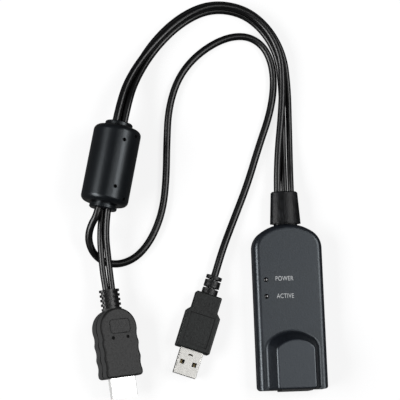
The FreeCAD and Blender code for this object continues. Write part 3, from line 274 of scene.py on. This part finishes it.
case_plastic.rub(level.band(*LID_EDGE).most(level.band(*HOOD_EDGE)), amount=0.07)
dress(case_plastic, "lower_shell", "upper_shell")


# --------------------------------------------------------------------------------------------------
# Case screws: two blackened steel pan heads, driven from below. Each head sits in a round seat sunk
# in the underside, and its shank passes the board and bites in a boss of the upper shell.
# --------------------------------------------------------------------------------------------------
blackened = plated("blackened", (0.05, 0.05, 0.052), roughness=0.40, drawn=(1.0, 1.0, 1.0))
dress(blackened, "case_screws")


# --------------------------------------------------------------------------------------------------
# Indicator lights: a lamp on the board under each clear pipe. The pipe ends below the lid in a
# smoked dome, which is unlit and shows only the room's light.
# --------------------------------------------------------------------------------------------------
DOME_RADIUS, DOME_HEIGHT, DOME_SUNK = 1.14 * MM, 0.58 * MM, 0.02 * MM
SMOKE = (0.004, 0.004, 0.005)
SMOKE_DARK, SMOKE_LIGHT = (0.003, 0.003, 0.004), (0.006, 0.006, 0.007)
scene = bpy.context.scene
clear_plastic = moulded(
    "clear_plastic", (0.30, 0.31, 0.32), roughness=0.12, grain=3000.0, relief=0.004 * MM,
    spread=0.04,
)
smoked = Finish(
    "smoked", SMOKE, roughness=0.14, Coat_Weight=1.0, Coat_Roughness=0.08, Specular_IOR_Level=1.0,
)
smoked.tone(SMOKE_DARK, SMOKE_LIGHT, smoked.noise(1400.0))
dress(clear_plastic, "power_lamp", "active_lamp", "power_light_pipe", "active_light_pipe")


def fix(name, shape, finish, smooth=True):
    """Makes a piece from its shape, in a finish, and fixes it to the body."""
    mesh = bpy.data.meshes.new(name)
    bmesh.ops.recalc_face_normals(shape, faces=shape.faces)
    for face in shape.faces:
        face.smooth = smooth
    shape.to_mesh(mesh)
    shape.free()
    mesh.materials.append(finish.material)
    piece = bpy.data.objects.new(name, mesh)
    scene.collection.objects.link(piece)
    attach(piece, "root")


for lamp in ("power", "active"):
    low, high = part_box(lamp + "_light_pipe")
    tip = Vector(((low[0] + high[0]) / 2, (low[1] + high[1]) / 2, high[2] - DOME_SUNK))
    dome = bmesh.new()
    bmesh.ops.create_uvsphere(dome, u_segments=32, v_segments=16, radius=1.0)
    whole = list(dome.verts) + list(dome.edges) + list(dome.faces)
    cut = bmesh.ops.bisect_plane(
        dome, geom=whole, plane_co=(0, 0, 0), plane_no=(0, 0, -1), clear_outer=True,
    )
    rim = [item for item in cut["geom_cut"] if isinstance(item, bmesh.types.BMEdge)]
    bmesh.ops.edgeloop_fill(dome, edges=rim)
    bmesh.ops.scale(dome, vec=(DOME_RADIUS, DOME_RADIUS, DOME_HEIGHT), verts=dome.verts)
    bmesh.ops.translate(dome, vec=tip, verts=dome.verts)
    fix(lamp + "_dome", dome, smoked)


# --------------------------------------------------------------------------------------------------
# Words beside the two lights: generic capitals in thin pale grey ink, pad-printed on the flat of
# the lid after moulding. The film is patchy where the grain under it shows through.
# --------------------------------------------------------------------------------------------------
INK_THICKNESS, INK_SUNK = 0.04 * MM, 0.01 * MM
INK_GREY, INK_THIN, INK_FULL = (0.50, 0.51, 0.52), (0.38, 0.39, 0.40), (0.56, 0.57, 0.58)
LETTER_GAP, LETTER_DEPTH = 1.04, 0.02
ink = Finish("ink", INK_GREY, roughness=0.55)
ink.tone(INK_THIN, INK_FULL, ink.noise(2500.0, detail=3.0).rise(0.3, 0.6))


def print_word(name, text, left, baseline, width, height):
    """Capitals as a thin film on the lid, stretched to the size of the print in millimetres."""
    font = bpy.data.curves.new(name, "FONT")
    font.body = text
    font.size = 1.0
    font.extrude = LETTER_DEPTH
    font.space_character = LETTER_GAP
    maker = bpy.data.objects.new(name + "_maker", font)
    scene.collection.objects.link(maker)
    bpy.context.view_layer.update()
    flat = bpy.data.meshes.new_from_object(
        maker.evaluated_get(bpy.context.evaluated_depsgraph_get())
    )
    bpy.data.objects.remove(maker)
    word = bmesh.new()
    word.from_mesh(flat)
    bmesh.ops.remove_doubles(word, verts=word.verts, dist=1e-6)
    low = Vector([min(vertex.co[axis] for vertex in word.verts) for axis in range(3)])
    high = Vector([max(vertex.co[axis] for vertex in word.verts) for axis in range(3)])
    size = high - low
    bmesh.ops.translate(word, vec=-low, verts=word.verts)
    stretch = (width * MM / size.x, height * MM / size.y, INK_THICKNESS / size.z)
    bmesh.ops.scale(word, vec=stretch, verts=word.verts)
    bmesh.ops.translate(word, vec=(left * MM, baseline * MM, LID_TOP - INK_SUNK), verts=word.verts)
    fix(name, word, ink, smooth=False)


print_word("power_word", "POWER", left=-7.4, baseline=4.95, width=9.3, height=2.3)
print_word("active_word", "ACTIVE", left=-7.15, baseline=-4.05, width=8.95, height=2.3)


# --------------------------------------------------------------------------------------------------
# Cord header and boot: a nylon header on the board takes the cores, and a grey-black rubber sleeve
# grips the three cords where they leave the crown. The rubber has a coarse dull grain, drawn along
# the sleeve.
# --------------------------------------------------------------------------------------------------
boot_rubber = moulded(
    "boot_rubber", (0.0034, 0.0038, 0.0048), roughness=0.40, grain=800.0, relief=0.18 * MM,
    contrast=0.80, stretch=(1.0, 0.4, 1.0), Specular_IOR_Level=0.27,
)
dress(nylon, "cord_header")
dress(boot_rubber, "cord_boot")


# --------------------------------------------------------------------------------------------------
# Cords: three round cords in satin black vinyl, one for the USB plug and a pair for the video plug.
# They leave the boot together, bend over and pass through the ferrite, and the USB cord comes back
# in a loop. Each route is in millimetres, from the boot to the plug.
# --------------------------------------------------------------------------------------------------
USB_THICKNESS, VIDEO_THICKNESS = 3.8, 3.3
STEPS_ALONG, STEPS_ROUND = 16, 6
USB_ROUTE = [
    (-3.45, 27.85, 5.5), (-3.5, 42.0, 5.5), (-3.4, 57.0, 5.5), (-2.1, 73.7, 5.4), (0.3, 90.7, 5.3),
    (1.9, 107.7, 5.3), (1.7, 125.1, 5.3), (-5.3, 140.0, 5.3), (-17.3, 150.0, 5.3),
    (-34.3, 152.5, 5.3), (-50.9, 145.0, 5.3), (-66.4, 130.6, 5.9), (-79.4, 113.0, 9.8),
    (-85.7, 96.6, 13.45), (-93.8, 60.1, 13.45), (-98, 41.3, 13.45), (-101.9, 35.0, 10.6),
    (-102.9, 28.4, 7.4), (-100.3, 21.8, 4.5), (-94.8, 17.4, 2.4), (-87.6, 16.1, 1.9),
    (-79.6, 18.6, 1.9), (-72.9, 24.6, 1.9), (-67.2, 33.9, 1.9), (-63, 45.9, 1.9), (-61, 61.3, 1.9),
    (-60.1, 79.3, 1.9), (-58.6, 97.3, 1.9), (-53.1, 113.6, 1.9), (-42.8, 126.0, 1.9),
    (-28.6, 134.7, 1.9), (-16.2, 136.4, 1.9), (-7.3, 131.3, 1.9), (-2.75, 121.6, 1.9),
    (-2.05, 108.7, 1.9), (-5.0, 93.7, 1.9), (-11.8, 76.1, 1.9), (-18.5, 56.6, 1.9),
    (-26.1, 39.0, 1.9), (-33.1, 23.1, 4), (-38.3, 7.7, 4), (-43.3, -6.4, 4),
]
INNER_VIDEO_ROUTE = [
    (0.25, 27.85, 5.5), (0.2, 41.5, 5.5), (0.3, 56.0, 5.5), (1, 71.7, 2.6), (1.6, 88.7, 1.65),
    (1.9, 107.2, 1.65), (0.6, 124.8, 1.65), (-6.4, 138.7, 1.65), (-17.9, 148.3, 1.65),
    (-34, 150.6, 1.65), (-49.8, 143.4, 1.65), (-64.6, 129.2, 2.6), (-76, 111.3, 8.2),
    (-81.3, 95.6, 13.65), (-87.8, 66.3, 13.65), (-94.7, 35.6, 13.65), (-92.65, 14.5, 8.5),
    (-91.4, 1.8, 8.38), (-90.2, -9.1, 8.38),
]
OUTER_VIDEO_ROUTE = [
    (3.8, 27.85, 5.5), (3.75, 41.5, 5.5), (3.7, 56.0, 5.5), (4.5, 71.8, 2.6), (5.05, 88.8, 1.65),
    (5.4, 108.3, 1.65), (4, 125.9, 1.65), (-3.7, 141.3, 1.65), (-16.5, 151.7, 1.65),
    (-34.6, 154.3, 1.65), (-51.9, 146.6, 1.65), (-67.4, 131.6, 1.65), (-78.5, 112.6, 5.2),
    (-83.8, 96.2, 10.15), (-90.3, 66.9, 10.15), (-97.2, 36.2, 10.15), (-96.4, 14.1, 9.6),
    (-94.6, 1.4, 9.52), (-93.5, -9.4, 9.52),
]
VINYL_BLACK = (0.0016, 0.0016, 0.0020)
VINYL_DARK, VINYL_LIGHT = (0.0010, 0.0010, 0.0013), (0.0024, 0.0024, 0.0029)
vinyl = Finish("vinyl", VINYL_BLACK, roughness=0.31, Specular_IOR_Level=0.60)
swell = vinyl.noise(160.0, detail=1.0)
scuff = vinyl.noise(2600.0, detail=3.0)
vinyl.tone(VINYL_DARK, VINYL_LIGHT, scuff.rise(0.35, 0.65))
vinyl.vary(swell, amount=0.10)


def lay_cord(name, node, route, thickness):
    """A round cord on one smooth line, which stands for the cord's solid."""
    line = bpy.data.curves.new(name, "CURVE")
    line.dimensions = "3D"
    line.resolution_u = STEPS_ALONG
    line.bevel_depth = thickness * MM / 2
    line.bevel_resolution = STEPS_ROUND
    line.use_fill_caps = True
    spline = line.splines.new("NURBS")
    spline.points.add(len(route) - 1)
    for point, place in zip(spline.points, route):
        point.co = (*(Vector(place) * MM), 1.0)
    spline.order_u = 3
    spline.use_endpoint_u = True
    line.materials.append(vinyl.material)
    piece = bpy.data.objects.new(name, line)
    scene.collection.objects.link(piece)
    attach(piece, "root")
    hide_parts(node)
    return piece


usb_line = lay_cord("usb_line", "usb_cord", USB_ROUTE, USB_THICKNESS)
inner_line = lay_cord("inner_video_line", "video_cord_inner", INNER_VIDEO_ROUTE, VIDEO_THICKNESS)
outer_line = lay_cord("outer_video_line", "video_cord_outer", OUTER_VIDEO_ROUTE, VIDEO_THICKNESS)


# --------------------------------------------------------------------------------------------------
# Ferrite: a grey ceramic ring on the three cords, in a black jacket moulded over it. The jacket is
# satin and keeps four deep holes where pins held the ring in the mould, with painted shade in them.
# Each hole is at an angle from the top and a distance in millimetres along the jacket.
# --------------------------------------------------------------------------------------------------
FERRITE_CENTRE, FERRITE_TURN = (-90.46, 65.90, 12.25), (0, 0, -12.6)
PIN_MARKS = [(17, 12.6), (17, -11.8), (49, 16.0), (49, -17.0)]
PIN_RADIUS, PIN_BLUR, OUTER_HALF = 0.9 * MM, 0.15 * MM, (0.0, 2.0 * MM)
# A near black for painted shade.
PAINTED_SHADE_BLACK = (0.0010, 0.0010, 0.0012)


def how_far(aside, gap):
    """How far a place is from a spot, from its distances sideways and along."""
    return (aside * aside + gap * gap).math("SQRT")


ceramic = moulded("ceramic", (0.050, 0.050, 0.052), roughness=0.70, grain=2000.0, relief=0.04 * MM)
jacket_plastic = moulded(
    "jacket_plastic", (0.0036, 0.0046, 0.0060), roughness=0.32, grain=1500.0, relief=0.012 * MM,
    contrast=0.25, spread=0.07, turn=FERRITE_TURN, centre=FERRITE_CENTRE,
    Specular_Tint=(0.88, 0.95, 1.0, 1.0),
)
across, along, up = (jacket_plastic.axis(letter) for letter in "XYZ")
# Painted shade in the four pin holes.
for angle, distance in PIN_MARKS:
    tilt = math.radians(angle)
    sideways = across * math.cos(tilt) - up * math.sin(tilt)
    outward = across * math.sin(tilt) + up * math.cos(tilt)
    hole = 1 - how_far(sideways, along - distance * MM).rise(PIN_RADIUS, PIN_RADIUS + PIN_BLUR)
    jacket_plastic.paint_shade_light_or_tone(PAINTED_SHADE_BLACK, hole * outward.rise(*OUTER_HALF))
dress(ceramic, "ferrite_core")
dress(jacket_plastic, "ferrite_jacket")


# --------------------------------------------------------------------------------------------------
# Video plug: a soft black grip moulded over a drawn steel shell, with a smooth ribbed boot behind
# it. The grip has a raised bare pad, two dimples and a parting groove round its side, with painted
# shade in and round them and along its soft top edge. Its sides are painted paler as painted light,
# and the shell is less metallic at its own sides, so that they show pale as painted light too.
# --------------------------------------------------------------------------------------------------
VIDEO_CENTRE, VIDEO_TURN = (-88.32, -41.93, 8.95), (0, 19.5, 6.2)
GRIP_TOP = 6.2 * MM
TOP_FACE = (GRIP_TOP - 1.0 * MM, GRIP_TOP - 0.7 * MM)
DIMPLE_SIDES, DIMPLE_ALONG, DIMPLE_RIM = (-4.05 * MM, 4.05 * MM), 19.9 * MM, (0.80 * MM, 0.95 * MM)
PAD_ACROSS, PAD_ALONG, PAD_CORNER = 0.4 * MM, 25.6 * MM, 1.6 * MM
PAD_HALF_WIDE, PAD_HALF_LONG = 3.8 * MM, 1.9 * MM
PAD_LINE, PAD_LIT_TO_SHADED = (0.05 * MM, 0.35 * MM), (-4.0 * MM, 5.0 * MM)
PAD_SHADE, PAD_MORE_SHADE, EDGE_SHADE, GROOVE_SHADE, BOOT_SHADE = 0.3, 0.6, 0.95, 0.7, 0.8
BOOT_START, SOFT_EDGE_END = (34.6 * MM, 35.4 * MM), (34.2 * MM, 34.8 * MM)
SOFT_EDGE, SIDE_TOP = (4.9 * MM, 5.2 * MM, 5.8 * MM, 6.1 * MM), (4.6 * MM, 4.9 * MM)
GROOVE_HALF, GROOVE_SIDE = (0.40 * MM, 0.65 * MM), (8.0 * MM, 8.5 * MM)
SHELL_SIDE, SHELL_PAINTED_PALENESS = (6.6 * MM, 6.9 * MM), 0.8
BOOT_BLACK, PAINTED_LIGHT_GREY = (0.0050, 0.0050, 0.0055), (0.040, 0.0405, 0.041)
video_plastic = moulded(
    "video_plastic", (0.0180, 0.0183, 0.0185), roughness=0.50, grain=800.0, relief=0.16 * MM,
    contrast=0.60, turn=VIDEO_TURN, centre=VIDEO_CENTRE, Specular_IOR_Level=0.4,
)
across, along, up = (video_plastic.axis(letter) for letter in "XYZ")
on_top, on_boot = up.rise(*TOP_FACE), along.rise(*BOOT_START)
# Painted shade in the two dimples.
for side in DIMPLE_SIDES:
    dimple = 1 - how_far(across - side, along - DIMPLE_ALONG).rise(*DIMPLE_RIM)
    video_plastic.paint_shade_light_or_tone(PAINTED_SHADE_BLACK, dimple * on_top)
# Painted shade: a dark line round the raised pad, darker on the side away from the light.
past_side = (abs(across - PAD_ACROSS) - PAD_HALF_WIDE).most(0.0)
past_end = (abs(along - PAD_ALONG) - PAD_HALF_LONG).most(0.0)
from_edge = abs(how_far(past_side, past_end) - PAD_CORNER)
pad_line = (1 - from_edge.rise(*PAD_LINE)) * on_top
more_shaded = across.rise(*PAD_LIT_TO_SHADED)
video_plastic.paint_shade_light_or_tone(PAINTED_SHADE_BLACK, pad_line * (more_shaded * PAD_MORE_SHADE + PAD_SHADE))
video_plastic.rub(on_boot, amount=0.24)
video_plastic.paint_shade_light_or_tone(BOOT_BLACK, on_boot * BOOT_SHADE, roughness=0.30)
# Painted light: the grip's sides are painted a paler grey.
on_side = 1 - up.rise(*SIDE_TOP)
video_plastic.paint_shade_light_or_tone(PAINTED_LIGHT_GREY, on_side * (1 - on_boot), roughness=0.55)
# Painted shade: a dark line along the grip's soft top edge.
soft_edge = up.band(*SOFT_EDGE) * (1 - along.rise(*SOFT_EDGE_END))
video_plastic.paint_shade_light_or_tone(PAINTED_SHADE_BLACK, soft_edge * EDGE_SHADE)
# Painted shade in the parting groove.
in_groove = (1 - abs(up).rise(*GROOVE_HALF)) * abs(across).rise(*GROOVE_SIDE)
video_plastic.paint_shade_light_or_tone(PAINTED_SHADE_BLACK, in_groove * GROOVE_SHADE)
shell_steel = plated(
    "shell_steel", (0.80, 0.80, 0.79), roughness=0.26, turn=VIDEO_TURN, centre=VIDEO_CENTRE,
)
# Painted light: the shell is less metallic at its sides, so that its pale colour shows there.
painted_pale_side = abs(shell_steel.axis("X")).rise(*SHELL_SIDE)
shell_steel.feed("Metallic", 1 - painted_pale_side * SHELL_PAINTED_PALENESS)
insert_plastic = moulded(
    "insert_plastic", (0.016, 0.016, 0.017), roughness=0.55, grain=2400.0, relief=0.02 * MM,
)
dress(video_plastic, "video_plug_grip")
dress(shell_steel, "video_plug_shell")
dress(insert_plastic, "video_plug_insert")
dress(gilt, "video_plug_contacts")


# --------------------------------------------------------------------------------------------------
# USB plug: a flat black grip moulded over a folded steel shell, with fine ridges on its sides, a
# sunk bare panel on its face with painted shade round it, and a three-block boot. The shell is
# duller and a little yellower than the other plug's, its contacts are painted darker as shade, and
# the ridges and the boot are smoother than the grip.
# --------------------------------------------------------------------------------------------------
USB_CENTRE, USB_TURN = (-51.29, -29.04, 4.0), (0, 0, -19.4)
USB_TOP_FACE = (3.0 * MM, 3.3 * MM)
PANEL_HALF_WIDE, PANEL_ALONG, PANEL_HALF_LONG = 6.4 * MM, 10.6 * MM, 8.0 * MM
PANEL_LINE, PANEL_SHADE, PANEL_MORE_SHADE = (0.05 * MM, 0.40 * MM), 0.25, 0.65
SHADED_SIDE, SHADED_END = (3.0 * MM, PANEL_HALF_WIDE), (16.0 * MM, 18.6 * MM)
RIDGES, USB_BOOT_START = (8.1 * MM, 8.5 * MM), (29.8 * MM, 30.2 * MM)
usb_plastic = moulded(
    "usb_plastic", (0.0072, 0.0086, 0.0084), roughness=0.48, grain=800.0, relief=0.14 * MM,
    contrast=0.60, turn=USB_TURN, centre=USB_CENTRE, Specular_IOR_Level=0.4,
)
across, along, up = (usb_plastic.axis(letter) for letter in "XYZ")
# Painted shade: a dark line round the sunk panel, darker along one side and one end.
past_side = abs(across) - PANEL_HALF_WIDE
past_end = abs(along - PANEL_ALONG) - PANEL_HALF_LONG
from_edge = abs(past_side.most(past_end))
more_shaded = across.rise(*SHADED_SIDE).most(along.rise(*SHADED_END))
panel_line = (1 - from_edge.rise(*PANEL_LINE)) * up.rise(*USB_TOP_FACE)
usb_plastic.paint_shade_light_or_tone(PAINTED_SHADE_BLACK, panel_line * (more_shaded * PANEL_MORE_SHADE + PANEL_SHADE))
usb_plastic.rub(abs(across).rise(*RIDGES), amount=0.16)
usb_plastic.paint_shade_light_or_tone(BOOT_BLACK, along.rise(*USB_BOOT_START) * BOOT_SHADE, roughness=0.32)
folded_steel = plated("folded_steel", (0.70, 0.69, 0.66), roughness=0.36)
# Painted shade: the contacts are a darker gilt, as they lie in shade inside the shell.
shade_darkened_gilt = plated("shade_darkened_gilt", (0.30, 0.24, 0.13), roughness=0.45)
dress(usb_plastic, "usb_plug_grip")
dress(folded_steel, "usb_plug_shell")
dress(insert_plastic, "usb_plug_insert")
dress(shade_darkened_gilt, "usb_plug_contacts")


# --------------------------------------------------------------------------------------------------
# Studio: a white sweep that keeps the shadows, a long soft box low on the left, a second one higher
# on the right and a faint panel overhead. A soft box has a place and a size in metres, and a power
# in watts.
# --------------------------------------------------------------------------------------------------
SWEEP_HALF, SWEEP_WHITE, PURE_WHITE = 1.5, (0.80, 0.80, 0.81, 1.0), (1.0, 1.0, 1.0, 1.0)
WHITE_SHARE, WHITE_LEVEL, MIRRORED_LEVEL = 0.72, 1.12, 0.09
ROOM_FILL, ROOM_SEEN, ROOM_MIRRORED = 0.05, 1.0, 0.05
MIDDLE = Vector((-0.045, 0.05, 0.0))
SOFT_BOXES = [
    ("left_box", (-1.06, -0.10, 0.74), (1.0, 0.48), 15.0),
    ("right_box", (0.72, 0.12, 0.98), (1.0, 0.44), 7.5),
    ("top_panel", (0.20, 0.05, 1.30), (0.36, 0.36), 1.15),
]


def show_background(wiring, plain, white, glimpse, share):
    """White where the camera or clear plastic sees it, a glimpse of it in gloss, else plain."""
    camera_ray = wiring.node("ShaderNodeLightPath", output="Is Camera Ray")
    clear_ray = wiring.node("ShaderNodeLightPath", output="Is Transmission Ray")
    gloss_ray = wiring.node("ShaderNodeLightPath", output="Is Glossy Ray")
    seen = wiring.node("ShaderNodeMixShader", (camera_ray.most(clear_ray) * share, plain, white))
    return wiring.node("ShaderNodeMixShader", (gloss_ray, seen, glimpse))


sweep = bmesh.new()
bmesh.ops.create_grid(sweep, x_segments=1, y_segments=1, size=SWEEP_HALF)
sweep_mesh = bpy.data.meshes.new("floor")
sweep.to_mesh(sweep_mesh)
sweep.free()
paper = bpy.data.materials.new("paper")
paper.use_nodes = True
paper.node_tree.nodes.clear()
wiring = Wiring(paper.node_tree)
surface = show_background(
    wiring,
    plain=wiring.node("ShaderNodeBsdfDiffuse", {"Color": SWEEP_WHITE}),
    white=wiring.node("ShaderNodeEmission", {"Strength": WHITE_LEVEL}),
    glimpse=wiring.node("ShaderNodeEmission", {"Strength": MIRRORED_LEVEL}),
    share=WHITE_SHARE,
)
wiring.node("ShaderNodeOutputMaterial", {"Surface": surface})
sweep_mesh.materials.append(paper)
floor = bpy.data.objects.new("floor", sweep_mesh)
scene.collection.objects.link(floor)

for name, place, size, power in SOFT_BOXES:
    lamp = bpy.data.lights.new(name, "AREA")
    lamp.shape = "RECTANGLE"
    lamp.size, lamp.size_y = size
    lamp.energy = power
    box = bpy.data.objects.new(name, lamp)
    box.location = place
    box.rotation_euler = (MIDDLE - Vector(place)).to_track_quat("-Z", "Y").to_euler()
    scene.collection.objects.link(box)

world = bpy.data.worlds.new("studio")
world.use_nodes = True
world.node_tree.nodes.clear()
wiring = Wiring(world.node_tree)
plain, white, glimpse = (
    wiring.node("ShaderNodeBackground", {"Color": PURE_WHITE, "Strength": strength})
    for strength in (ROOM_FILL, ROOM_SEEN, ROOM_MIRRORED)
)
surface = show_background(wiring, plain, white, glimpse, share=1.0)
wiring.node("ShaderNodeOutputWorld", {"Surface": surface})
scene.world = world
scene.view_settings.view_transform = "Standard"


# --------------------------------------------------------------------------------------------------
# Camera: a long lens nearly overhead, a little to the left of the case and towards its jack, with
# the long side of the case a little off upright.
# --------------------------------------------------------------------------------------------------
LEFT_LEAN, NEAR_LEAN, ROLL = math.radians(7.5), math.radians(8.5), math.radians(2.17)
CAMERA_DISTANCE, SENSOR_WIDTH, FOCAL_LENGTH = 0.9, 36.0, 155.52
TARGET = Vector((-43.51, 49.16, 0)) * MM
picture_right = Vector((math.cos(ROLL), -math.sin(ROLL), 0))
picture_up = Vector((math.sin(ROLL), math.cos(ROLL), 0))
leftward, nearward = picture_right * math.tan(LEFT_LEAN), picture_up * math.tan(NEAR_LEAN)
backward = (Vector((0, 0, 1)) - leftward - nearward).normalized()
camera_up = (picture_up - backward * picture_up.dot(backward)).normalized()
lens = bpy.data.cameras.new("camera")
lens.sensor_width = SENSOR_WIDTH
lens.lens = FOCAL_LENGTH
camera = bpy.data.objects.new("camera", lens)
scene.collection.objects.link(camera)
facing = Matrix((camera_up.cross(backward), camera_up, backward)).transposed().to_4x4()
camera.matrix_world = Matrix.Translation(TARGET + backward * CAMERA_DISTANCE) @ facing
scene.camera = camera
